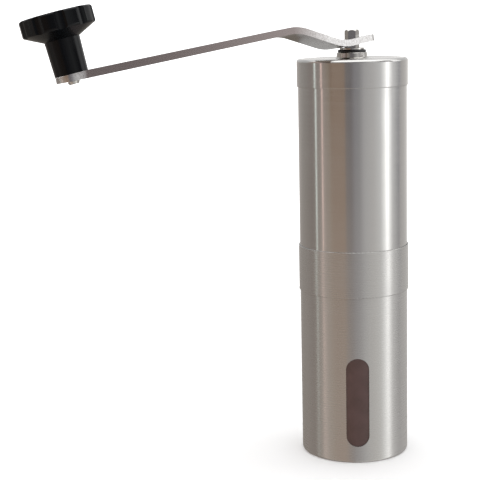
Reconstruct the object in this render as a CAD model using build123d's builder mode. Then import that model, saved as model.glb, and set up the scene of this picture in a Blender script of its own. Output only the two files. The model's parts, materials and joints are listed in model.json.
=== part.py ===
from build123d import *
import os
from math import cos, hypot, radians, sqrt, tan

# Hand crank coffee grinder, standing on its base. Units are millimetres, +Z is up, the origin is
# the centre of the base, and the canister's window faces -Y.

os.makedirs("parts", exist_ok=True)

# ------------------------------------------------------------------------------ clearances
slide_gap = 0.08        # radial room between pieces that turn or slide on each other
fit_gap = 0.02          # radial room between pieces pressed or glued together
seat_gap = 0.05         # room under a piece that rests on another and lifts off it
pane_gap = 0.05         # glue line around the window pane

# ------------------------------------------------------------------------------ canister
tube_dia = 47.0         # outside of the canister's wall and of the hopper tube
canister_wall = 0.45
canister_floor = 0.8
canister_height = 93.2  # base to the rim of the widened mouth
step_height = 73.3      # base to the step where the mouth widens
base_round = 1.0
step_round = 0.3
rim_chamfer = 0.25

tube_radius = tube_dia / 2
canister_inner = tube_radius - canister_wall
mouth_inner = tube_radius + slide_gap
mouth_outer = mouth_inner + canister_wall

window_bottom = 7.3
window_height = 39.5
window_width = 9.95
pane_thickness = 1.0
pane_lip = 2.0          # how far the pane's flange reaches past the slot, behind the wall
pane_recess = 0.4       # how far the pane lies below the wall's outside
window_middle = window_bottom + window_height / 2

# ------------------------------------------------------------------------------ lid
lid_top = 174.0
lid_height = 11.8
lid_wall = 0.35
lid_round = 1.2
lid_edge_round = 0.25
insert_flange = 1.5     # the insert's disc, which rests on the hopper tube's rim
insert_depth = 9.0
insert_wall = 1.4
insert_chamfer = 0.6

lid_inner = tube_radius + slide_gap
lid_outer = lid_inner + lid_wall
lid_skirt = lid_top - lid_height
insert_top = lid_top - lid_wall - fit_gap
insert_seat = insert_top - insert_flange

# ------------------------------------------------------------------------------ hopper tube
hopper_wall = 0.5
hopper_base = step_height + canister_wall + seat_gap
hopper_top = insert_seat - seat_gap
hopper_inner = tube_radius - hopper_wall

# ------------------------------------------------------------------------------ drive shaft
hex_across_flats = 5.5
hex_turn = -3.5         # degrees, turns the hexagon about the shaft
hex_chamfer = 0.7
hex_showing = 3.95      # hexagon above the crank
thread_step = 0.35      # the thread is this much thinner than the shaft
thread_spare = 6.2      # thread below the adjuster
drive_flats = 4.8       # across the two flats that turn the burr
clip_groove_depth = 0.6
clip_thickness = 0.8
clip_width = 1.9
clip_mouth = 3.7        # gap between the clip's ends

shaft_radius = hex_across_flats / sqrt(3)  # round bar as wide as the hexagon's corners
thread_radius = shaft_radius - thread_step / 2
bore_radius = shaft_radius + slide_gap

# ------------------------------------------------------------------------------ lid bush and washers
bush_height = 2.5
bush_top_radius = 6.45
bush_base_radius = 6.65
bush_flare_radius = 7.2
bush_flare_height = 0.4
bush_round = 0.3
bush_stem_wall = 1.75
bush_stem_length = 6.6
bush_nut_flats = 14.0
bush_nut_height = 3.4
thrust_ring_radius = 6.05
thrust_ring_height = 1.05
crank_washer_radius = 5.3
crank_washer_height = 0.8

bush_stem_radius = bore_radius + bush_stem_wall
bush_top = lid_top + bush_height
crank_washer_base = bush_top + thrust_ring_height + seat_gap
crank_washer_top = crank_washer_base + crank_washer_height

# ------------------------------------------------------------------------------ crank arm
crank_turn = 225.5      # degrees from +X, where the arm points in plan
crank_lean = 10.0       # degrees the loose crank leans over on its hexagon
lean_turn = 176.9       # degrees from +X, which way it leans
strip_width = 11.8
strip_thickness = 2.8
crank_reach = 148.3     # shaft to knob, along the strip
tab_length = 12.15      # strip past the shaft on the other side
rise_start = 11.1
rise_end = 36.7
rise_height = 10.0
hub_bend_radius = 28.0
top_bend_radius = 28.0
hex_play = 0.2          # room across the flats, besides what the lean needs

lean_axis = Axis((0, 0, 0), Vector(0, 1, 0).rotate(Axis.Z, lean_turn))
crank_height = crank_washer_top + crank_washer_radius * tan(radians(crank_lean)) + seat_gap
hole_height = crank_height + strip_thickness / 2 / cos(radians(crank_lean))

# ------------------------------------------------------------------------------ knob
pin_lean = 3.35         # degrees the riveted pin leans over further than the strip
knob_seat_room = 0.25   # how far the seat milled into the strip reaches past the stem
knob_stem_bottom_radius = 6.0
knob_stem_top_radius = 6.33
knob_stem_length = 12.4
knob_taper_height = 3.3
knob_radius = 13.1
knob_rim_height = 6.0
knob_rim_round = 0.9
grip_count = 10
grip_radius = 3.5
grip_depth = 0.75
pin_radius = 2.5
pin_tenon_radius = 2.0
pin_tail_height = 1.0
pin_tail_radius = 2.3
pin_tail_taper = 30
pin_head_radius = 4.2
pin_head_height = 1.5
pin_head_taper = 20
knob_washer_height = 0.6
knob_pocket_radius = 4.9
knob_pocket_sink = 1.0  # how far the pocket reaches below the rim
knob_cap_height = 1.6
knob_cap_round = 0.4

# ------------------------------------------------------------------------------ burrs and their housing
housing_wall = 0.8      # at the funnel's thin top edge
housing_inset = 0.6     # the housing stops this far above the tube's foot
housing_lip = 1.1       # thread below the retainer
throat_radius = 14.8
throat_height = 5.5
outer_burr_dia = 38.0
outer_burr_height = 12.0
retainer_height = 1.9
retainer_inner = 15.0
retainer_slot_width = 3.0
hub_wall = 1.95
hub_height = 8.0
spider_arms = 3
spider_arm_width = 3.0
spider_arm_height = 4.0
hub_bush_wall = 1.4
hub_washer_radius = 5.6
hub_washer_height = 0.6
flats_clearance = 2.0   # round shaft below the hub

land_radius = 12.75     # inner burr, at the ring that sets the grind
land_height = 2.0
land_gap = 0.25
land_drop = 1.05        # the inner burr hangs this far below the outer one
inner_burr_height = 16.0
inner_burr_top_radius = 7.6
outer_throat_radius = 14.4
outer_land_height = 1.6
burr_flutes = 8
flute_width = 1.3
flute_depth = 0.9
flute_angle = 24.0
flute_overrun = 1.4     # the cutter is this many times as long as the cone's side
outer_grooves = 12
groove_width = 1.6
groove_depth = 0.7

carrier_wall = 2.25
carrier_flange_radius = 10.5
carrier_flange_height = 2.6
carrier_boss_length = 12.0
click_plate_radius = 8.5
click_plate_height = 1.2
click_bump_radius = 0.7
click_bump_height = 0.3
click_bump_taper = 20
click_circle_radius = 6.8
click_notches = 12
adjuster_radius = 11.0
adjuster_height = 6.0
adjuster_lobes = 12
adjuster_lobe_radius = 2.0
adjuster_lobe_depth = 0.8

spring_room = 7.6       # inner burr to hub
spring_wire_radius = 0.4
spring_play = 1.0       # shaft to spring
spring_coils = 4
spring_washer_radius = 5.6
spring_washer_height = 0.6

housing_base = hopper_base + housing_inset
retainer_base = housing_base + housing_lip
outer_burr_radius = outer_burr_dia / 2
outer_burr_base = retainer_base + retainer_height + fit_gap
burr_seat = outer_burr_base + outer_burr_height + seat_gap
funnel_bottom = burr_seat + throat_height
inner_burr_base = outer_burr_base - land_drop
inner_burr_top = inner_burr_base + inner_burr_height
hub_base = inner_burr_top + spring_room
hub_top = hub_base + hub_height
housing_top = hub_base + spider_arm_height
burr_bore_radius = bore_radius + carrier_wall
carrier_top = inner_burr_base + carrier_boss_length
carrier_base = inner_burr_base - fit_gap - carrier_flange_height
click_plate_base = carrier_base - fit_gap - click_plate_height
adjuster_top = click_plate_base - click_bump_height - seat_gap
adjuster_base = adjuster_top - adjuster_height
spring_washer_base = hub_base - seat_gap - spring_washer_height
spring_coil_radius = shaft_radius + spring_play + spring_wire_radius
clip_base = hub_top + seat_gap + hub_washer_height + fit_gap


def save(piece, label):
    """Name a finished piece and write its file."""
    piece.part.label = label
    export_step(piece.part, f"parts/{label}.step")


def double_flat(radius, across):
    """Round bar or hole with two parallel flats, drawn in the open sketch."""
    Circle(radius)
    Rectangle(across, 4 * radius, mode=Mode.INTERSECT)


# ------------------------------------------------------------------------------ canister
# Drawn steel cup whose mouth is widened to take the hopper tube, with the slot of the window.
with BuildPart() as canister_shell:
    with BuildSketch(Plane.XZ):
        with BuildLine():
            Polyline(
                (0, 0),
                (tube_radius, 0),
                (tube_radius, step_height),
                (mouth_outer, step_height),
                (mouth_outer, canister_height),
                (mouth_inner, canister_height),
                (mouth_inner, step_height + canister_wall),
                (canister_inner, step_height + canister_wall),
                (canister_inner, canister_floor),
                (0, canister_floor),
                close=True,
            )
        make_face()
    revolve(axis=Axis.Z)
    base_edge = canister_shell.edges().group_by(Axis.Z)[0]
    fillet(base_edge, radius=base_round)
    step_edge = canister_shell.edges().filter_by_position(
        Axis.Z, step_height - fit_gap, step_height + fit_gap
    )
    fillet(step_edge.sort_by(SortBy.RADIUS)[-1], radius=step_round)
    rim_edges = canister_shell.edges().group_by(Axis.Z)[-1].sort_by(SortBy.RADIUS)
    chamfer(rim_edges[0], length=rim_chamfer)
    fillet(canister_shell.edges().group_by(Axis.Z)[-1].sort_by(SortBy.RADIUS)[-1], radius=canister_wall / 4)
    with BuildSketch(Plane.XZ):
        with Locations((0, window_middle)):
            SlotOverall(window_height, window_width, rotation=90)
    extrude(amount=tube_dia, mode=Mode.SUBTRACT)
save(canister_shell, "canister_shell")

# Clear brown pane: a plug that fills the slot, on a wider flange glued behind the wall.
pane_inner = canister_inner - pane_gap - pane_thickness
with BuildPart() as pane_plug:
    with BuildSketch():
        Circle(tube_radius - pane_recess)
        Circle(pane_inner, mode=Mode.SUBTRACT)
    extrude(amount=step_height)
    with BuildSketch(Plane.XZ):
        with Locations((0, window_middle)):
            SlotOverall(window_height - 2 * pane_gap, window_width - 2 * pane_gap, rotation=90)
    extrude(amount=tube_dia, mode=Mode.INTERSECT)

with BuildPart() as window_pane:
    with BuildSketch():
        Circle(canister_inner - pane_gap)
        Circle(pane_inner, mode=Mode.SUBTRACT)
    extrude(amount=step_height)
    with BuildSketch(Plane.XZ):
        with Locations((0, window_middle)):
            SlotOverall(window_height + 2 * pane_lip, window_width + 2 * pane_lip, rotation=90)
    extrude(amount=tube_dia, mode=Mode.INTERSECT)
    add(pane_plug.part)
save(window_pane, "window_pane")

# ------------------------------------------------------------------------------ hopper
# Plain steel tube that holds the beans. It slides into the canister's mouth.
with BuildPart() as hopper_tube:
    with BuildSketch(Plane.XY.offset(hopper_base)):
        Circle(tube_radius)
        Circle(hopper_inner, mode=Mode.SUBTRACT)
    extrude(amount=hopper_top - hopper_base)
    outside_edges = hopper_tube.edges().filter_by(GeomType.CIRCLE).sort_by(SortBy.RADIUS)[-2:]
    chamfer(outside_edges, length=hopper_wall / 4)
save(hopper_tube, "hopper_tube")

# Moulded housing in the foot of the tube: a funnel, the seat of the outer burr, and a spider
# that carries the shaft's bush.
housing_radius = hopper_inner - fit_gap
funnel_radius = housing_radius - housing_wall
seat_radius = outer_burr_radius + fit_gap
hub_bore_radius = bore_radius + hub_bush_wall + fit_gap
with BuildPart() as burr_housing:
    with BuildSketch(Plane.XZ):
        with BuildLine():
            Polyline(
                (housing_radius, housing_base),
                (housing_radius, housing_top),
                (funnel_radius, housing_top),
                (throat_radius, funnel_bottom),
                (throat_radius, burr_seat),
                (seat_radius, burr_seat),
                (seat_radius, housing_base),
                close=True,
            )
        make_face()
    revolve(axis=Axis.Z)
    with BuildSketch(Plane.XY.offset(hub_base)):
        Circle(hub_bore_radius + hub_wall)
    extrude(amount=hub_height)
    with BuildSketch(Plane.XY.offset(hub_base)):
        with PolarLocations(housing_radius / 2, spider_arms, start_angle=90):
            Rectangle(housing_radius - fit_gap, spider_arm_width)
        Circle(housing_radius, mode=Mode.INTERSECT)
    extrude(amount=spider_arm_height)
    with BuildSketch(Plane.XY.offset(hub_base)):
        Circle(hub_bore_radius)
    extrude(amount=hub_height, mode=Mode.SUBTRACT)
save(burr_housing, "burr_housing")

# Sintered bush in the spider's hub.
with BuildPart() as hub_bush:
    with BuildSketch(Plane.XY.offset(hub_base)):
        Circle(hub_bore_radius - fit_gap)
        Circle(bore_radius, mode=Mode.SUBTRACT)
    extrude(amount=hub_height)
save(hub_bush, "hub_bush")

# Fixed ceramic ring: a flared throat above a short land, with straight grooves.
outer_burr_top = outer_burr_base + outer_burr_height
outer_land_radius = land_radius + land_gap
outer_land_top = outer_burr_base + outer_land_height
with BuildPart() as outer_burr:
    with BuildSketch(Plane.XZ):
        with BuildLine():
            Polyline(
                (outer_land_radius, outer_burr_base),
                (outer_burr_radius, outer_burr_base),
                (outer_burr_radius, outer_burr_top),
                (outer_throat_radius, outer_burr_top),
                (outer_land_radius, outer_land_top),
                close=True,
            )
        make_face()
    revolve(axis=Axis.Z)
    with BuildSketch(Plane.XY.offset(outer_land_top)):
        with PolarLocations(outer_throat_radius, outer_grooves):
            Rectangle(2 * groove_depth, groove_width)
    extrude(amount=outer_burr_height, mode=Mode.SUBTRACT)
save(outer_burr, "outer_burr")

# Threaded ring under the outer burr, with two slots for a spanner.
with BuildPart() as outer_burr_retainer:
    with BuildSketch(Plane.XY.offset(retainer_base)):
        Circle(outer_burr_radius)
        Circle(retainer_inner, mode=Mode.SUBTRACT)
    extrude(amount=retainer_height)
    with BuildSketch(Plane.XY.offset(retainer_base)):
        with PolarLocations(retainer_inner, 2):
            Rectangle(2 * retainer_slot_width, retainer_slot_width)
    extrude(amount=retainer_height / 2, mode=Mode.SUBTRACT)
save(outer_burr_retainer, "outer_burr_retainer")

# ------------------------------------------------------------------------------ drive shaft
# Steel shaft: a hexagon on top for the crank, a groove for the clip, and at the bottom two flats
# that turn the burr, over a thread for the adjuster.
flats_top = hub_base - flats_clearance
shaft_bottom = adjuster_base - thread_spare
hex_base = crank_washer_base
shaft_top = hole_height + strip_thickness / 2 + hex_showing
groove_radius = shaft_radius - clip_groove_depth
with BuildPart() as drive_shaft:
    with BuildSketch(Plane.XY.offset(shaft_bottom)):
        double_flat(thread_radius, drive_flats)
    extrude(amount=carrier_base - shaft_bottom)
    with BuildSketch(Plane.XY.offset(carrier_base)):
        double_flat(shaft_radius, drive_flats)
    extrude(amount=flats_top - carrier_base)
    with BuildSketch(Plane.XY.offset(flats_top)):
        Circle(shaft_radius)
    extrude(amount=hex_base - flats_top)
    with BuildSketch(Plane.XY.offset(hex_base)):
        Circle(shaft_radius)
        RegularPolygon(hex_across_flats / 2, 6, major_radius=False, rotation=hex_turn, mode=Mode.INTERSECT)
    extrude(amount=shaft_top - hex_base)
    with BuildSketch(Plane.XZ):
        with Locations((shaft_radius, shaft_top)):
            Polygon((-hex_chamfer, 0), (0, 0), (0, -hex_chamfer), align=None)
    revolve(axis=Axis.Z, mode=Mode.SUBTRACT)
    with BuildSketch(Plane.XY.offset(clip_base)):
        Circle(2 * shaft_radius)
        Circle(groove_radius, mode=Mode.SUBTRACT)
    extrude(amount=clip_thickness + 2 * fit_gap, mode=Mode.SUBTRACT)
save(drive_shaft, "drive_shaft")

# Washer and spring clip that stop the shaft from dropping through the hub.
with BuildPart() as hub_washer:
    with BuildSketch(Plane.XY.offset(hub_top + seat_gap)):
        Circle(hub_washer_radius)
        Circle(bore_radius, mode=Mode.SUBTRACT)
    extrude(amount=hub_washer_height)
save(hub_washer, "hub_washer")

clip_inner = groove_radius + fit_gap
with BuildPart() as shaft_clip:
    with BuildSketch(Plane.XY.offset(clip_base + fit_gap)):
        Circle(clip_inner + clip_width)
        Circle(clip_inner, mode=Mode.SUBTRACT)
        with Locations((0, -clip_inner - clip_width)):
            Rectangle(clip_mouth, 2 * (clip_inner + clip_width), mode=Mode.SUBTRACT)
    extrude(amount=clip_thickness)
save(shaft_clip, "shaft_clip")

# ------------------------------------------------------------------------------ turning burr
# Ceramic cone with slanting flutes above the land that sets the grind.
with BuildPart() as inner_burr:
    with BuildSketch(Plane.XZ):
        with BuildLine():
            Polyline(
                (burr_bore_radius + fit_gap, inner_burr_base),
                (land_radius, inner_burr_base),
                (land_radius, inner_burr_base + land_height),
                (inner_burr_top_radius, inner_burr_top),
                (burr_bore_radius + fit_gap, inner_burr_top),
                close=True,
            )
        make_face()
    revolve(axis=Axis.Z)
    flute_middle = (land_radius + inner_burr_top_radius) / 2
    flute_reach = hypot(land_radius - inner_burr_top_radius, inner_burr_height - land_height)
    cone_slope = (land_radius - inner_burr_top_radius) / (inner_burr_height - land_height)
    flute_height = inner_burr_base + land_height + (inner_burr_height - land_height) / 2
    for number in range(burr_flutes):
        flute_plane = Plane(
            origin=Vector(flute_middle, 0, flute_height).rotate(Axis.Z, number * 360 / burr_flutes),
            x_dir=Vector(0, 1, 0).rotate(Axis.Z, number * 360 / burr_flutes),
            z_dir=Vector(1, 0, cone_slope).rotate(Axis.Z, number * 360 / burr_flutes),
        )
        with BuildSketch(flute_plane.offset(-flute_depth)):
            Rectangle(flute_width, flute_overrun * flute_reach, rotation=flute_angle)
        extrude(amount=3 * flute_depth, mode=Mode.SUBTRACT)
save(inner_burr, "inner_burr")

# Moulded carrier pressed up into the cone. Its bore has the shaft's two flats.
with BuildPart() as burr_carrier:
    with BuildSketch(Plane.XY.offset(carrier_base)):
        Circle(carrier_flange_radius)
    extrude(amount=carrier_flange_height)
    with BuildSketch(Plane.XY.offset(carrier_base)):
        Circle(burr_bore_radius)
    extrude(amount=carrier_top - carrier_base)
    with BuildSketch(Plane.XY.offset(carrier_base)):
        double_flat(bore_radius, drive_flats + 2 * slide_gap)
    extrude(amount=carrier_top - carrier_base, mode=Mode.SUBTRACT)
save(burr_carrier, "burr_carrier")

# Steel plate with two bumps that click over the adjuster's notches.
with BuildPart() as click_plate:
    with BuildSketch(Plane.XY.offset(click_plate_base)):
        Circle(click_plate_radius)
    extrude(amount=click_plate_height)
    with BuildSketch(Plane.XY.offset(click_plate_base)):
        with PolarLocations(click_circle_radius, 2):
            Circle(click_bump_radius)
    extrude(amount=-click_bump_height, taper=click_bump_taper)
    with BuildSketch(Plane.XY.offset(click_plate_base)):
        double_flat(bore_radius, drive_flats + 2 * slide_gap)
    extrude(amount=click_plate_height, mode=Mode.SUBTRACT)
save(click_plate, "click_plate")

# Finger wheel on the shaft's thread: a ring of lobes outside, a ring of notches on top.
with BuildPart() as adjuster_nut:
    with BuildSketch(Plane.XY.offset(adjuster_base)):
        Circle(adjuster_radius)
        lobe_circle = adjuster_radius + adjuster_lobe_radius - adjuster_lobe_depth
        with PolarLocations(lobe_circle, adjuster_lobes):
            Circle(adjuster_lobe_radius, mode=Mode.SUBTRACT)
        Circle(thread_radius + slide_gap, mode=Mode.SUBTRACT)
    extrude(amount=adjuster_height)
    with BuildSketch(Plane.XY.offset(adjuster_top)):
        with PolarLocations(click_circle_radius, click_notches):
            Circle(click_bump_radius)
    extrude(amount=-click_bump_height, mode=Mode.SUBTRACT)
save(adjuster_nut, "adjuster_nut")

# Washer under the hub and the coil spring that pushes the burr down onto the adjuster.
with BuildPart() as spring_washer:
    with BuildSketch(Plane.XY.offset(spring_washer_base)):
        Circle(spring_washer_radius)
        Circle(bore_radius, mode=Mode.SUBTRACT)
    extrude(amount=spring_washer_height)
save(spring_washer, "spring_washer")

spring_base = inner_burr_top + spring_wire_radius + seat_gap
spring_top = spring_washer_base - spring_wire_radius - seat_gap
with BuildPart() as burr_spring:
    with BuildLine():
        Helix((spring_top - spring_base) / spring_coils, spring_top - spring_base, spring_coil_radius,
              center=(0, 0, spring_base))
    with BuildSketch(Plane(origin=(spring_coil_radius, 0, spring_base), z_dir=(0, 1, 0))):
        Circle(spring_wire_radius)
    sweep(is_frenet=True)
save(burr_spring, "burr_spring")

# ------------------------------------------------------------------------------ lid
# Pressed steel cap that slips over the hopper tube.
stem_hole_radius = bush_stem_radius + fit_gap
with BuildPart() as lid_shell:
    with BuildSketch(Plane.XZ) as lid_profile:
        with BuildLine():
            Polyline(
                (stem_hole_radius, lid_top),
                (lid_outer, lid_top),
                (lid_outer, lid_skirt),
                (lid_inner, lid_skirt),
                (lid_inner, lid_top - lid_wall),
                (stem_hole_radius, lid_top - lid_wall),
                close=True,
            )
        make_face()
        fillet(lid_profile.vertices().group_by(Axis.Y)[-2].sort_by(Axis.X)[-1], radius=lid_round - lid_wall)
        fillet(lid_profile.vertices().group_by(Axis.Y)[-1].sort_by(Axis.X)[-1], radius=lid_round)
        fillet(lid_profile.vertices().group_by(Axis.Y)[0].sort_by(Axis.X)[-1], radius=lid_edge_round)
    revolve(axis=Axis.Z)
save(lid_shell, "lid_shell")

# Moulded insert under the cap. Its disc rests on the tube's rim and its wall plugs the tube.
insert_radius = hopper_inner - slide_gap
insert_disc_radius = lid_inner - (lid_round - lid_wall)
with BuildPart() as lid_insert:
    with BuildSketch(Plane.XY.offset(insert_seat)):
        Circle(insert_disc_radius)
    extrude(amount=insert_flange)
    with BuildSketch(Plane.XY.offset(insert_seat - insert_depth)):
        Circle(insert_radius)
    extrude(amount=insert_depth)
    chamfer(lid_insert.edges().group_by(Axis.Z)[0], length=insert_chamfer)
    with BuildSketch(Plane.XY.offset(insert_seat - insert_depth)):
        Circle(insert_radius - insert_wall)
    extrude(amount=insert_depth, mode=Mode.SUBTRACT)
    with BuildSketch(Plane.XY.offset(insert_seat - insert_depth)):
        Circle(stem_hole_radius)
    extrude(amount=insert_depth + insert_flange, mode=Mode.SUBTRACT)
save(lid_insert, "lid_insert")

# Steel bush: a flared head on top of the cap and a threaded stem down through cap and insert.
with BuildPart() as lid_bush:
    with BuildSketch(Plane.XZ):
        with BuildLine():
            Polyline(
                (bore_radius, lid_top - bush_stem_length),
                (bush_stem_radius, lid_top - bush_stem_length),
                (bush_stem_radius, lid_top + fit_gap),
                (bush_flare_radius, lid_top + fit_gap),
                (bush_base_radius, lid_top + bush_flare_height),
                (bush_top_radius, bush_top),
                (bore_radius, bush_top),
                close=True,
            )
        make_face()
    revolve(axis=Axis.Z)
    fillet(lid_bush.edges().group_by(Axis.Z)[-1].sort_by(SortBy.RADIUS)[-1], radius=bush_round)
save(lid_bush, "lid_bush")

with BuildPart() as bush_nut:
    with BuildSketch(Plane.XY.offset(insert_seat - fit_gap - bush_nut_height)):
        RegularPolygon(bush_nut_flats / 2, 6, major_radius=False)
        Circle(bush_stem_radius + fit_gap, mode=Mode.SUBTRACT)
    extrude(amount=bush_nut_height)
save(bush_nut, "bush_nut")

# Black thrust ring on the bush, and the steel washer that the crank sits on.
with BuildPart() as thrust_ring:
    with BuildSketch(Plane.XY.offset(bush_top)):
        Circle(thrust_ring_radius)
        Circle(bore_radius, mode=Mode.SUBTRACT)
    extrude(amount=thrust_ring_height)
    ring_rim = thrust_ring.edges().filter_by(GeomType.CIRCLE).sort_by(SortBy.RADIUS)[-2:]
    fillet(ring_rim, radius=thrust_ring_height / 4)
save(thrust_ring, "thrust_ring")

with BuildPart() as crank_washer:
    with BuildSketch(Plane.XY.offset(crank_washer_base)):
        Circle(crank_washer_radius)
        Circle(bore_radius, mode=Mode.SUBTRACT)
    extrude(amount=crank_washer_height)
    washer_rim = crank_washer.edges().filter_by(GeomType.CIRCLE).sort_by(SortBy.RADIUS)[-2:]
    fillet(washer_rim, radius=crank_washer_height / 5)
save(crank_washer, "crank_washer")

# ------------------------------------------------------------------------------ crank
# The crank drops loosely over the hexagon, so it leans until it rests on the washer's edge. Its
# plane is the strip's underside at the hub.
strip_normal = Vector(0, 0, 1).rotate(lean_axis, crank_lean)
strip_along = Vector(1, 0, 0).rotate(Axis.Z, crank_turn).rotate(lean_axis, crank_lean)
crank_plane = Plane(origin=(0, 0, crank_height), x_dir=strip_along, z_dir=strip_normal)
strip_side = Plane(origin=crank_plane.origin, x_dir=strip_along, z_dir=strip_along.cross(strip_normal))
hole_plane = Plane(origin=(0, 0, hole_height), x_dir=strip_along, z_dir=strip_normal)
pin_direction = Vector(0, 0, 1).rotate(lean_axis, crank_lean + pin_lean)
knob_plane = Plane(
    origin=crank_plane.from_local_coords((crank_reach, 0, rise_height + strip_thickness)),
    x_dir=strip_normal.cross(pin_direction).cross(pin_direction),
    z_dir=pin_direction,
)

# Steel strip with a joggle near the hub, round at both ends. Its outer end is milled square to the
# leaning pin, for the knob to turn on.
knob_seat_radius = knob_stem_bottom_radius + knob_seat_room
knob_seat = -knob_stem_bottom_radius * tan(radians(pin_lean))
tab_centre = strip_width / 2 - tab_length
strip_spare = strip_width
hex_hole_flats = hex_across_flats + strip_thickness * tan(radians(crank_lean)) + hex_play
with BuildPart() as crank_arm:
    with BuildSketch(strip_side):
        with BuildLine():
            FilletPolyline(
                (tab_centre - strip_spare, strip_thickness / 2),
                (rise_start, strip_thickness / 2),
                (rise_end, rise_height + strip_thickness / 2),
                (crank_reach + strip_spare, rise_height + strip_thickness / 2),
                radius=(hub_bend_radius, top_bend_radius),
            )
            offset(amount=strip_thickness / 2)
        make_face()
    extrude(amount=strip_width / 2, both=True)
    with BuildSketch(crank_plane.offset(-strip_spare)):
        with Locations(((crank_reach + tab_centre) / 2, 0)):
            SlotCenterToCenter(crank_reach - tab_centre, strip_width)
    extrude(amount=3 * strip_spare, mode=Mode.INTERSECT)
    with BuildSketch(hole_plane):
        RegularPolygon(hex_hole_flats / 2, 6, major_radius=False, rotation=hex_turn - crank_turn)
    extrude(amount=strip_thickness, both=True, mode=Mode.SUBTRACT)
    with BuildSketch(knob_plane.offset(knob_seat)):
        Circle(knob_seat_radius)
    extrude(amount=strip_thickness, mode=Mode.SUBTRACT)
    with BuildSketch(knob_plane):
        Circle(pin_tenon_radius + fit_gap)
    extrude(amount=2 * strip_thickness, both=True, mode=Mode.SUBTRACT)
save(crank_arm, "crank_arm")

# ------------------------------------------------------------------------------ knob
# Pin riveted through the strip: a tail below, a shoulder on the milled seat, and a head that keeps
# the knob on.
shoulder_foot = knob_seat + fit_gap
tail_top = -strip_thickness - pin_tail_radius * tan(radians(pin_lean)) - fit_gap
knob_stem_foot = knob_seat + seat_gap
rim_bottom = knob_stem_foot + knob_stem_length + knob_taper_height
knob_top = rim_bottom + knob_rim_height
pocket_floor = rim_bottom - knob_pocket_sink
knob_washer_base = pocket_floor + seat_gap
pin_head_base = knob_washer_base + knob_washer_height + fit_gap
with BuildPart() as knob_pin:
    with BuildSketch(knob_plane.offset(shoulder_foot)):
        Circle(pin_radius)
    extrude(amount=pin_head_base - shoulder_foot)
    with BuildSketch(knob_plane.offset(pin_head_base)):
        Circle(pin_head_radius)
    extrude(amount=pin_head_height, taper=pin_head_taper)
    with BuildSketch(knob_plane.offset(shoulder_foot)):
        Circle(pin_tenon_radius)
    extrude(amount=tail_top - shoulder_foot)
    with BuildSketch(knob_plane.offset(tail_top)):
        Circle(pin_tail_radius)
    extrude(amount=-pin_tail_height, taper=pin_tail_taper)
save(knob_pin, "knob_pin")

with BuildPart() as knob_washer:
    with BuildSketch(knob_plane.offset(knob_washer_base)):
        Circle(pin_head_radius)
        Circle(pin_radius + fit_gap, mode=Mode.SUBTRACT)
    extrude(amount=knob_washer_height)
save(knob_washer, "knob_washer")

# Moulded knob: a stem, a tapered underside and a rim with shallow finger notches.
knob_side = Plane(origin=knob_plane.origin, x_dir=knob_plane.x_dir, z_dir=-knob_plane.y_dir)
knob_axis = Axis(knob_plane.origin, pin_direction)
with BuildPart() as knob_body:
    with BuildSketch(knob_side) as knob_profile:
        with BuildLine():
            Polyline(
                (0, knob_stem_foot),
                (knob_stem_bottom_radius, knob_stem_foot),
                (knob_stem_top_radius, knob_stem_foot + knob_stem_length),
                (knob_radius, rim_bottom),
                (knob_radius, knob_top),
                (0, knob_top),
                close=True,
            )
        make_face()
        rim_corners = knob_profile.vertices().group_by(Axis.X)[-1]
        fillet(rim_corners, radius=knob_rim_round)
    revolve(axis=knob_axis)
    with BuildSketch(knob_plane.offset(knob_stem_foot + knob_stem_length)):
        with PolarLocations(knob_radius + grip_radius - grip_depth, grip_count):
            Circle(grip_radius)
    extrude(amount=knob_top, mode=Mode.SUBTRACT)
    with BuildSketch(knob_plane.offset(knob_seat)):
        Circle(pin_radius + slide_gap)
    extrude(amount=knob_top, mode=Mode.SUBTRACT)
    with BuildSketch(knob_plane.offset(pocket_floor)):
        Circle(knob_pocket_radius)
    extrude(amount=knob_top, mode=Mode.SUBTRACT)
save(knob_body, "knob_body")

# Disc pressed into the pocket over the pin's head.
with BuildPart() as knob_cap:
    with BuildSketch(knob_plane.offset(knob_top - knob_cap_height)):
        Circle(knob_pocket_radius - fit_gap)
    extrude(amount=knob_cap_height)
    fillet(knob_cap.edges().filter_by(GeomType.CIRCLE).sort_by(Axis.Z)[-1], radius=knob_cap_round)
save(knob_cap, "knob_cap")
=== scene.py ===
import json
from math import cos, hypot, pi, radians, sin

import bpy
from mathutils import Matrix, Vector


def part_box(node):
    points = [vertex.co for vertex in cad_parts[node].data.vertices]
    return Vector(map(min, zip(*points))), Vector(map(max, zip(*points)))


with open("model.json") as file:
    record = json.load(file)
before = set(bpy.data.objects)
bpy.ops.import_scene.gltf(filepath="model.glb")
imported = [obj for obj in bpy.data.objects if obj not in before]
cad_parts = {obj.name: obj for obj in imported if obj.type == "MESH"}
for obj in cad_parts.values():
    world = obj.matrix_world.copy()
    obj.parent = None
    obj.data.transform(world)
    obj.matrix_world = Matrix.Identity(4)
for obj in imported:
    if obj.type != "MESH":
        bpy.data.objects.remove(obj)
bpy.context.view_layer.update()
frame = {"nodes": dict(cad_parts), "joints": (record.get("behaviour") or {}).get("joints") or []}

# A slim hand coffee grinder of brushed stainless steel. Lengths are in metres, +Z is up, and the
# canister's window faces -Y. The sections follow the grinder as it is put together.

# --- Canister -----------------------------------------------------------------------------------
# Cup drawn from 18/8 stainless sheet, with its mouth widened to take the foot of the hopper tube.
# It is brushed on a lathe, so fine lines run round it and draw highlights out up and down it.
MM = 0.001
sheet_colour = "C6C5C3"
lathe_line_depth = 0.02 * MM
rubbed_patch = 14 * MM


def linear(hex_colour):
    """An sRGB hex colour as the linear RGBA that shaders take."""
    values = [int(hex_colour[i:i + 2], 16) / 255 for i in (0, 2, 4)]
    return [v / 12.92 if v <= 0.04045 else ((v + 0.055) / 1.055) ** 2.4 for v in values] + [1.0]


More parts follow.
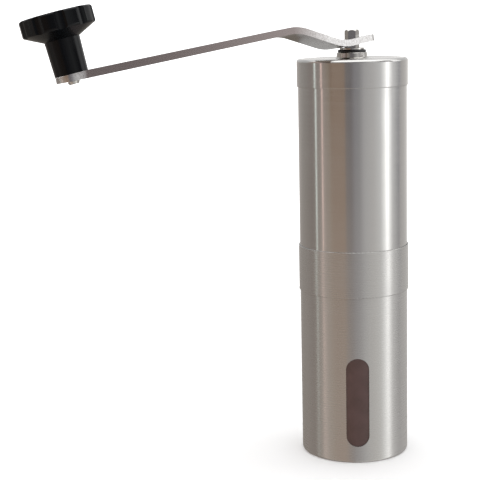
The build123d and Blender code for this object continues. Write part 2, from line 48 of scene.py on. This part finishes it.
def set_node(node, settings):
    """Set a node's properties and its sockets by name or number. Another node's socket is linked in."""
    for name, value in settings.items():
        if isinstance(value, bpy.types.NodeSocket):
            node.id_data.links.new(value, node.inputs[name])
        elif isinstance(name, str) and hasattr(node, name):
            setattr(node, name, value)
        else:
            node.inputs[name].default_value = value


def add_node(owner, kind, settings):
    """Add a node, with its settings and links, to a material or to the world."""
    node = owner.node_tree.nodes.new(kind)
    set_node(node, settings)
    return node


def new_material(name):
    """A new material, its principled shader, and the socket that gives places on the grinder."""
    material = bpy.data.materials.new(name)
    material.use_nodes = True
    place = add_node(material, "ShaderNodeTexCoord", {}).outputs["Object"]
    return material, material.node_tree.nodes["Principled BSDF"], place


def dress(material, *names):
    """Give CAD nodes their finish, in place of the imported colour."""
    for name in names:
        frame["nodes"][name].data.materials.clear()
        frame["nodes"][name].data.materials.append(material)


def brushed_stainless(name, line_spacing, line_length, roughness):
    """Stainless sheet brushed round the Z axis. Its tangent stretches highlights along the tube."""
    steel, shader, place = new_material(name)
    stretched = add_node(steel, "ShaderNodeMapping", {
        "Vector": place, "Scale": (1 / line_length, 1 / line_length, 1 / line_spacing),
    }).outputs["Vector"]
    lines = add_node(steel, "ShaderNodeTexNoise", {
        "Vector": stretched, "Scale": 1.0, "Detail": 3.0, "Roughness": 0.6,
    }).outputs["Fac"]
    patches = add_node(steel, "ShaderNodeTexNoise", {
        "Vector": place, "Scale": 1 / rubbed_patch, "Detail": 2.0,
    }).outputs["Fac"]
    rub = add_node(steel, "ShaderNodeMath", {"operation": "MULTIPLY", 0: lines, 1: patches}).outputs[0]
    rough = add_node(steel, "ShaderNodeMapRange", {
        "Value": rub, "From Min": 0.1, "From Max": 0.4,
        "To Min": roughness - 0.03, "To Max": roughness + 0.04,
    }).outputs["Result"]
    tint = add_node(steel, "ShaderNodeMapRange", {
        "Value": lines, "From Min": 0.3, "From Max": 0.7, "To Min": 0.96, "To Max": 1.0,
    }).outputs["Result"]
    paint = add_node(steel, "ShaderNodeMix", {
        "data_type": "RGBA", "blend_type": "MULTIPLY", 0: 1.0, 6: linear(sheet_colour), 7: tint,
    }).outputs[2]
    relief = add_node(steel, "ShaderNodeBump", {
        "Height": lines, "Strength": 0.025, "Distance": lathe_line_depth,
    }).outputs["Normal"]
    around = add_node(steel, "ShaderNodeTangent", {"direction_type": "RADIAL", "axis": "Z"})
    set_node(shader, {
        "Base Color": paint, "Metallic": 1.0, "Roughness": rough, "Normal": relief,
        "Anisotropic": 0.9, "Anisotropic Rotation": 0.25, "Tangent": around.outputs["Tangent"],
    })
    return steel


# Satin, with broad soft bands of light. Real brush lines lie closer than 0.1 mm, too fine to show,
# so they are drawn 0.22 mm apart.
canister_steel = brushed_stainless("satin brushed stainless", 0.22 * MM, 20 * MM, 0.27)
dress(canister_steel, "canister_shell")

# --- Window -------------------------------------------------------------------------------------
# Pane injection moulded in brown tinted polycarbonate and glued behind the slot from inside. It is
# clear, but the dark inside of the canister makes it look like solid chocolate brown.
mould_wave_width = 6 * MM
mould_wave_height = 0.05 * MM


def set_stops(ramp, stops):
    """Give a colour ramp its stops, as pairs of position and linear colour."""
    elements = ramp.color_ramp.elements
    for number, (position, colour) in enumerate(stops):
        element = elements[number] if number < 2 else elements.new(position)
        element.position = position
        element.color = colour


# Glossy, with slow waves from the mould that bend its reflections a little.
window_plastic, shader, place = new_material("moulded brown polycarbonate")
waves = add_node(window_plastic, "ShaderNodeTexNoise", {
    "Vector": place, "Scale": 1 / mould_wave_width, "Detail": 1.0,
}).outputs["Fac"]
browns = add_node(window_plastic, "ShaderNodeValToRGB", {"Fac": waves})
set_stops(browns, ((0.35, linear("4D3733")), (0.65, linear("533C39"))))
relief = add_node(window_plastic, "ShaderNodeBump", {
    "Height": waves, "Strength": 0.3, "Distance": mould_wave_height,
}).outputs["Normal"]
set_node(shader, {
    "Base Color": browns.outputs["Color"], "Roughness": 0.16, "IOR": 1.58, "Normal": relief,
})
dress(window_plastic, "window_pane")

# --- Hopper tube --------------------------------------------------------------------------------
# Welded stainless tube, cut to length and deburred, with the burr housing pressed into its foot.
# It slides into the canister's widened mouth.

# Brushed finer than the canister, so it mirrors the room in narrower and brighter bands. These
# lines too are drawn further apart than they are, to show.
tube_steel = brushed_stainless("fine brushed stainless", 0.2 * MM, 24 * MM, 0.19)
dress(tube_steel, "hopper_tube")

# --- Moulded insides ----------------------------------------------------------------------------
# Injection moulded nylon: grey for the burr housing, its retainer and the lid's insert, which stay
# still, and black for the burr carrier, the adjuster and the ring that the crank turns on.
mould_grain = 0.3 * MM
mould_grain_depth = 0.03 * MM
worn_patch = 9 * MM


def moulded_plastic(name, colour, roughness, grain, specular=0.5):
    """Plastic from a spark-eroded mould, whose pits lie grain apart, with patches worn smoother."""
    plastic, shader, place = new_material(name)
    pits = add_node(plastic, "ShaderNodeTexNoise", {
        "Vector": place, "Scale": 1 / grain, "Detail": 4.0,
    }).outputs["Fac"]
    relief = add_node(plastic, "ShaderNodeBump", {
        "Height": pits, "Strength": 0.25, "Distance": mould_grain_depth,
    }).outputs["Normal"]
    worn = add_node(plastic, "ShaderNodeTexNoise", {
        "Vector": place, "Scale": 1 / worn_patch, "Detail": 3.0,
    }).outputs["Fac"]
    rough = add_node(plastic, "ShaderNodeMapRange", {
        "Value": worn, "From Min": 0.3, "From Max": 0.7,
        "To Min": roughness - 0.05, "To Max": roughness + 0.07,
    }).outputs["Result"]
    set_node(shader, {
        "Base Color": linear(colour), "Roughness": rough, "Normal": relief,
        "IOR": 1.5, "Specular IOR Level": specular,
    })
    return plastic


# Matt, because the mould's pits break up every highlight. Real pits lie under 0.1 mm apart, so
# they are drawn coarser to show.
grey_nylon = moulded_plastic("moulded grey nylon", "4A4B4E", 0.5, mould_grain)
dress(grey_nylon, "burr_housing", "outer_burr_retainer", "lid_insert")
black_nylon = moulded_plastic("moulded black nylon", "1B1B1D", 0.42, mould_grain)
dress(black_nylon, "burr_carrier", "adjuster_nut", "thrust_ring")

# --- Burrs --------------------------------------------------------------------------------------
# Alumina ceramic, pressed and fired, and ground only on its cutting edges. The ring is held up in
# the housing by its retainer, and the cone turns with the carrier.
speck_size = 0.8 * MM

# Cream white and hardly shiny, faintly speckled. The specks are drawn coarser than fired grains.
alumina, shader, place = new_material("fired alumina")
specks = add_node(alumina, "ShaderNodeTexNoise", {
    "Vector": place, "Scale": 1 / speck_size, "Detail": 5.0,
}).outputs["Fac"]
creams = add_node(alumina, "ShaderNodeValToRGB", {"Fac": specks})
set_stops(creams, ((0.35, linear("DCD6C8")), (0.6, linear("F0ECE2"))))
set_node(shader, {"Base Color": creams.outputs["Color"], "Roughness": 0.45, "IOR": 1.76})
dress(alumina, "outer_burr", "inner_burr")

# --- Shaft, bearings and spring -----------------------------------------------------------------
# The shaft, the knob's pin, the lid's bush and its nut are turned from stainless bar, and the
# washers and click plate are cut from sheet. The spring and clip are wire, and one bush is bronze.
tool_mark_spacing = 0.19 * MM
tool_mark_length = 5.5 * MM
tool_mark_depth = 0.02 * MM


def machined_metal(name, colour, roughness):
    """Metal with the fine marks that a tool or a die leaves round it, drawn a little coarse to show."""
    metal, shader, place = new_material(name)
    stretched = add_node(metal, "ShaderNodeMapping", {
        "Vector": place, "Scale": (1 / tool_mark_length, 1 / tool_mark_length, 1 / tool_mark_spacing),
    }).outputs["Vector"]
    marks = add_node(metal, "ShaderNodeTexNoise", {
        "Vector": stretched, "Scale": 1.0, "Detail": 2.0,
    }).outputs["Fac"]
    rough = add_node(metal, "ShaderNodeMapRange", {
        "Value": marks, "From Min": 0.3, "From Max": 0.7,
        "To Min": roughness - 0.05, "To Max": roughness + 0.06,
    }).outputs["Result"]
    relief = add_node(metal, "ShaderNodeBump", {
        "Height": marks, "Strength": 0.15, "Distance": tool_mark_depth,
    }).outputs["Normal"]
    set_node(shader, {
        "Base Color": linear(colour), "Metallic": 1.0, "Roughness": rough, "Normal": relief,
    })
    return metal


# Nearly mirror bright, with small hard glints.
bright_steel = machined_metal("turned stainless", "C0BEBA", 0.13)
dress(bright_steel, "drive_shaft", "hub_washer", "spring_washer", "click_plate", "lid_bush", "bush_nut",
      "crank_washer", "knob_pin", "knob_washer")
# Softer and a little greyer than turned steel, from the drawing die.
wire_steel = machined_metal("drawn spring wire", "B9B9BA", 0.3)
dress(wire_steel, "shaft_clip", "burr_spring")
# Dull gold, because sintered metal is porous.
bronze = machined_metal("sintered bronze", "B08A55", 0.42)
dress(bronze, "hub_bush")

# --- Lid ----------------------------------------------------------------------------------------
# Cap pressed from stainless sheet over its moulded insert, and pushed onto the hopper tube. It is
# brushed on the lathe as the tube is, so the tube's bands run on up its rim and fan out on its top.
dress(tube_steel, "lid_shell")

# --- Crank arm ----------------------------------------------------------------------------------
# Strip sheared from stainless bar, bent in a press and tumbled. Its hexagonal hole drops loosely
# over the shaft's hexagon, and the knob's pin is riveted through its other end.
pin_place = next(joint["pos_m"] for joint in frame["joints"] if joint["name"] == "knob_spin")
pin_reach = hypot(pin_place[0], pin_place[1])
# Reaches along the strip where its colour is painted: painted highlight at the hub and the pin, painted
# shade between.
hub_highlight_until = 21 * MM
painted_shade_from = 41 * MM
pin_highlight_from = pin_reach - 2.3 * MM
pin_highlight_blend = 1.5 * MM
dimple_spacing = 0.9 * MM
dimple_depth = 0.03 * MM

# Satin and finely dimpled. Its colour is painted lighter at the hub and at the pin as painted
# highlight, and darker and browner between them as painted shade. Real dimples lie closer, so these are
# drawn coarser.
strip_steel, shader, place = new_material("tumbled stainless strip")
flat_place = add_node(strip_steel, "ShaderNodeVectorMath", {
    "operation": "MULTIPLY", 0: place, 1: (1.0, 1.0, 0.0),
}).outputs["Vector"]
along = add_node(strip_steel, "ShaderNodeVectorMath", {
    "operation": "LENGTH", 0: flat_place,
}).outputs["Value"]
shade_past_hub = add_node(strip_steel, "ShaderNodeMapRange", {
    "Value": along, "From Min": hub_highlight_until, "From Max": painted_shade_from,
}).outputs["Result"]
shade_short_of_pin = add_node(strip_steel, "ShaderNodeMapRange", {
    "Value": along, "From Min": pin_highlight_from + pin_highlight_blend, "From Max": pin_highlight_from,
}).outputs["Result"]
painted_shade = add_node(strip_steel, "ShaderNodeMath", {
    "operation": "MULTIPLY", 0: shade_past_hub, 1: shade_short_of_pin,
}).outputs[0]
dimples = add_node(strip_steel, "ShaderNodeTexNoise", {
    "Vector": place, "Scale": 1 / dimple_spacing, "Detail": 3.0,
}).outputs["Fac"]
highlight_and_dimple_tones = add_node(strip_steel, "ShaderNodeValToRGB", {"Fac": dimples})
set_stops(highlight_and_dimple_tones, ((0.35, linear("BAB8B6")), (0.6, linear("D2D1D0"))))
# Paints the strip darker and browner between hub and pin as painted shade, and lighter at both as
# painted highlight.
tone = add_node(strip_steel, "ShaderNodeMix", {
    "data_type": "RGBA", 0: painted_shade, 6: highlight_and_dimple_tones.outputs["Color"], 7: linear("887F7D"),
}).outputs[2]
relief = add_node(strip_steel, "ShaderNodeBump", {
    "Height": dimples, "Strength": 0.2, "Distance": dimple_depth,
}).outputs["Normal"]
set_node(shader, {"Base Color": tone, "Metallic": 1.0, "Roughness": 0.22, "Normal": relief})
dress(strip_steel, "crank_arm")

# --- Knob ---------------------------------------------------------------------------------------
# Phenolic, compression moulded in two pieces: the knob, and a disc pressed in over the head of its
# pin. It is blue-black and semi-gloss, and its moulded skin keeps the highlights faint.
knob_grain = 0.5 * MM
phenolic = moulded_plastic("moulded black phenolic", "05070A", 0.2, knob_grain, specular=0.2)
dress(phenolic, "knob_body", "knob_cap")

# --- Table and light ----------------------------------------------------------------------------
# Round table painted matt white, under a large soft box. The room around it is what the steel
# mirrors: its walls differ in tone from side to side, which puts the upright bands into the tubes.
scene = bpy.context.scene
scene.view_settings.view_transform = "Standard"

table_radius = 0.34
rim_points = 96
rim_angles = [2 * pi * i / rim_points for i in range(rim_points)]
rim = [(table_radius * cos(angle), table_radius * sin(angle), 0.0) for angle in rim_angles]
table_mesh = bpy.data.meshes.new("floor")
table_mesh.from_pydata(rim, [], [range(rim_points)])
table = bpy.data.objects.new("floor", table_mesh)
scene.collection.objects.link(table)
white_paint, shader, _ = new_material("matt white paint")
set_node(shader, {"Base Color": linear("F7F7F7"), "Roughness": 0.9})
table_mesh.materials.append(white_paint)
# The steel mirrors the room's low walls in place of the table.
table.visible_glossy = False

# How far the window is turned from the camera. The room and the camera turn back by it.
window_turn = radians(3.5)
world = bpy.data.worlds.new("room")
world.use_nodes = True
direction = add_node(world, "ShaderNodeTexCoord", {}).outputs["Generated"]
from_camera = add_node(world, "ShaderNodeVectorRotate", {
    "rotation_type": "Z_AXIS", "Vector": direction, "Angle": window_turn,
}).outputs["Vector"]
compass = add_node(world, "ShaderNodeSeparateXYZ", {"Vector": from_camera}).outputs
backwards = add_node(world, "ShaderNodeMath", {
    "operation": "MULTIPLY", 0: compass["Y"], 1: -1.0,
}).outputs[0]
bearing = add_node(world, "ShaderNodeMath", {
    "operation": "ARCTAN2", 0: compass["X"], 1: backwards,
}).outputs[0]
turn_share = add_node(world, "ShaderNodeMapRange", {
    "Value": bearing, "From Min": -pi, "From Max": pi,
}).outputs["Result"]


def wall_ring(tones):
    """The room's tones round the compass: bearing in degrees, colour, and a gain where one shines."""
    stops = []
    for angle, tone, *gain in tones:
        brightness = gain[0] if gain else 1.0
        stops.append(((angle + 180) / 360, [value * brightness for value in linear(tone)]))
    ring = add_node(world, "ShaderNodeValToRGB", {"Fac": turn_share})
    set_stops(ring, stops)
    return ring.outputs["Color"]


def blend_up(below, above, start, end):
    """Go from one tone to another over a rise in elevation, given as sines."""
    rise = add_node(world, "ShaderNodeMapRange", {
        "interpolation_type": "SMOOTHSTEP", "Value": compass["Z"], "From Min": start, "From Max": end,
    }).outputs["Result"]
    mix = add_node(world, "ShaderNodeMix", {"data_type": "RGBA", 0: rise, 6: below, 7: above})
    return mix.outputs[2]


# Bearings are counted from the wall behind the camera, anticlockwise seen from above.
low_walls = wall_ring((
    (-180, "6E6962"), (-150, "78726C"), (-125, "837B75"), (-99, "7F7771"), (-86, "837B74"),
    (-78, "98918A"), (-70, "A89E95"), (-64, "B8ABA3"), (-58, "9E958D"), (-46, "9D9389"),
    (-38, "9A8E85"), (-18, "9C8F85"), (-4, "958D88"), (8, "989492"), (26, "A6A4A2"),
    (46, "B0ADA9"), (60, "B6B4B0"), (72, "D4D4D2"), (82, "E8E8E6"), (92, "B0AEAC"),
    (102, "A2A09E"), (113, "979492"), (124, "9C9A98"), (150, "9A9896"), (180, "6E6962"),
))
level_walls = wall_ring((
    (-180, "C6C4C2"), (-155, "96918E"), (-136, "8A8682"), (-112, "7D7874"), (-98, "766F6C"),
    (-86, "7C7773"), (-84.5, "F4FFFB"), (-82.5, "F4FFFB"), (-81, "7E7874"), (-69, "7E7773"),
    (-67.8, "F8D8CF"), (-66.2, "F8D8CF"), (-65, "857C76"), (-50, "807468"), (-45, "7C6858"),
    (-17, "7C6858"), (-13, "605D5E"), (-3, "5A585B"), (5, "76757A"), (14, "7C7B7E"),
    (25, "9C9B9C"), (44, "A4A3A3"), (60, "C2C3C4"), (70, "FFFFFF"), (77, "FFFFFF", 1.8),
    (84, "FFFFFF"), (93, "B8B8B9"), (103, "979798"), (113, "7E7E82"), (122, "A09D9B"),
    (180, "C6C4C2"),
))
high_walls = wall_ring((
    (-180, "B4B4B4"), (-110, "A0A0A0"), (-90, "8A7A70"), (-60, "8A8080"), (-25, "7A7672"),
    (-14, "605E60"), (10, "605E60"), (28, "8A8A8A"), (45, "B0B0B0"), (78, "5A5456"),
    (91, "605A5C"), (95, "FFFFFF"), (114, "FFFFFF"), (125, "B0B0B0"), (180, "B4B4B4"),
))
room_tones = blend_up(low_walls, level_walls, -0.30, -0.07)
room_tones = blend_up(room_tones, high_walls, 0.05, 0.13)
room_tones = blend_up(room_tones, linear("F4F4F4"), 0.5, 0.8)
# The camera itself sees plain white beyond the table.
seen = add_node(world, "ShaderNodeLightPath", {}).outputs["Is Camera Ray"]
backdrop = add_node(world, "ShaderNodeMix", {
    "data_type": "RGBA", 0: seen, 6: room_tones, 7: (1.0, 1.0, 1.0, 1.0),
}).outputs[2]
set_node(world.node_tree.nodes["Background"], {"Color": backdrop, "Strength": 1.75})
scene.world = world

soft_box_side = 1.2
soft_box_watts = 2.0
soft_box_place = (0.1, 0.0, 1.1)
soft_box_data = bpy.data.lights.new("soft box", "AREA")
soft_box_data.shape = "RECTANGLE"
soft_box_data.size = soft_box_side
soft_box_data.size_y = soft_box_side
soft_box_data.energy = soft_box_watts
soft_box = bpy.data.objects.new("soft box", soft_box_data)
soft_box.location = soft_box_place
scene.collection.objects.link(soft_box)

# --- Camera -------------------------------------------------------------------------------------
# Short telephoto lens a little over half a metre away and a little above the lid. It looks down
# at the grinder from one side of its window, and leans a little clockwise.
sensor_width_mm = 36.0
focal_length_mm = 96.15
camera_distance = 0.558
camera_above_lid = 21.5 * MM
yaw = radians(5.133)
pitch = radians(10.182)
roll = radians(-1.337)

camera_data = bpy.data.cameras.new("camera")
camera_data.sensor_width = sensor_width_mm
camera_data.lens = focal_length_mm
camera = bpy.data.objects.new("camera", camera_data)
forward = Vector((-sin(yaw) * cos(pitch), cos(yaw) * cos(pitch), -sin(pitch)))
right = Vector((cos(yaw), sin(yaw), 0.0))
up = right.cross(forward)
leaning_right = right * cos(roll) + up * sin(roll)
leaning_up = up * cos(roll) - right * sin(roll)
aim = Matrix((leaning_right, leaning_up, -forward)).transposed().to_4x4()
lid_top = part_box("lid_shell")[1].z
tripod = Matrix.Translation((0.0, -camera_distance, lid_top + camera_above_lid))
camera.matrix_world = Matrix.Rotation(-window_turn, 4, "Z") @ tripod @ aim
scene.collection.objects.link(camera)
scene.camera = camera
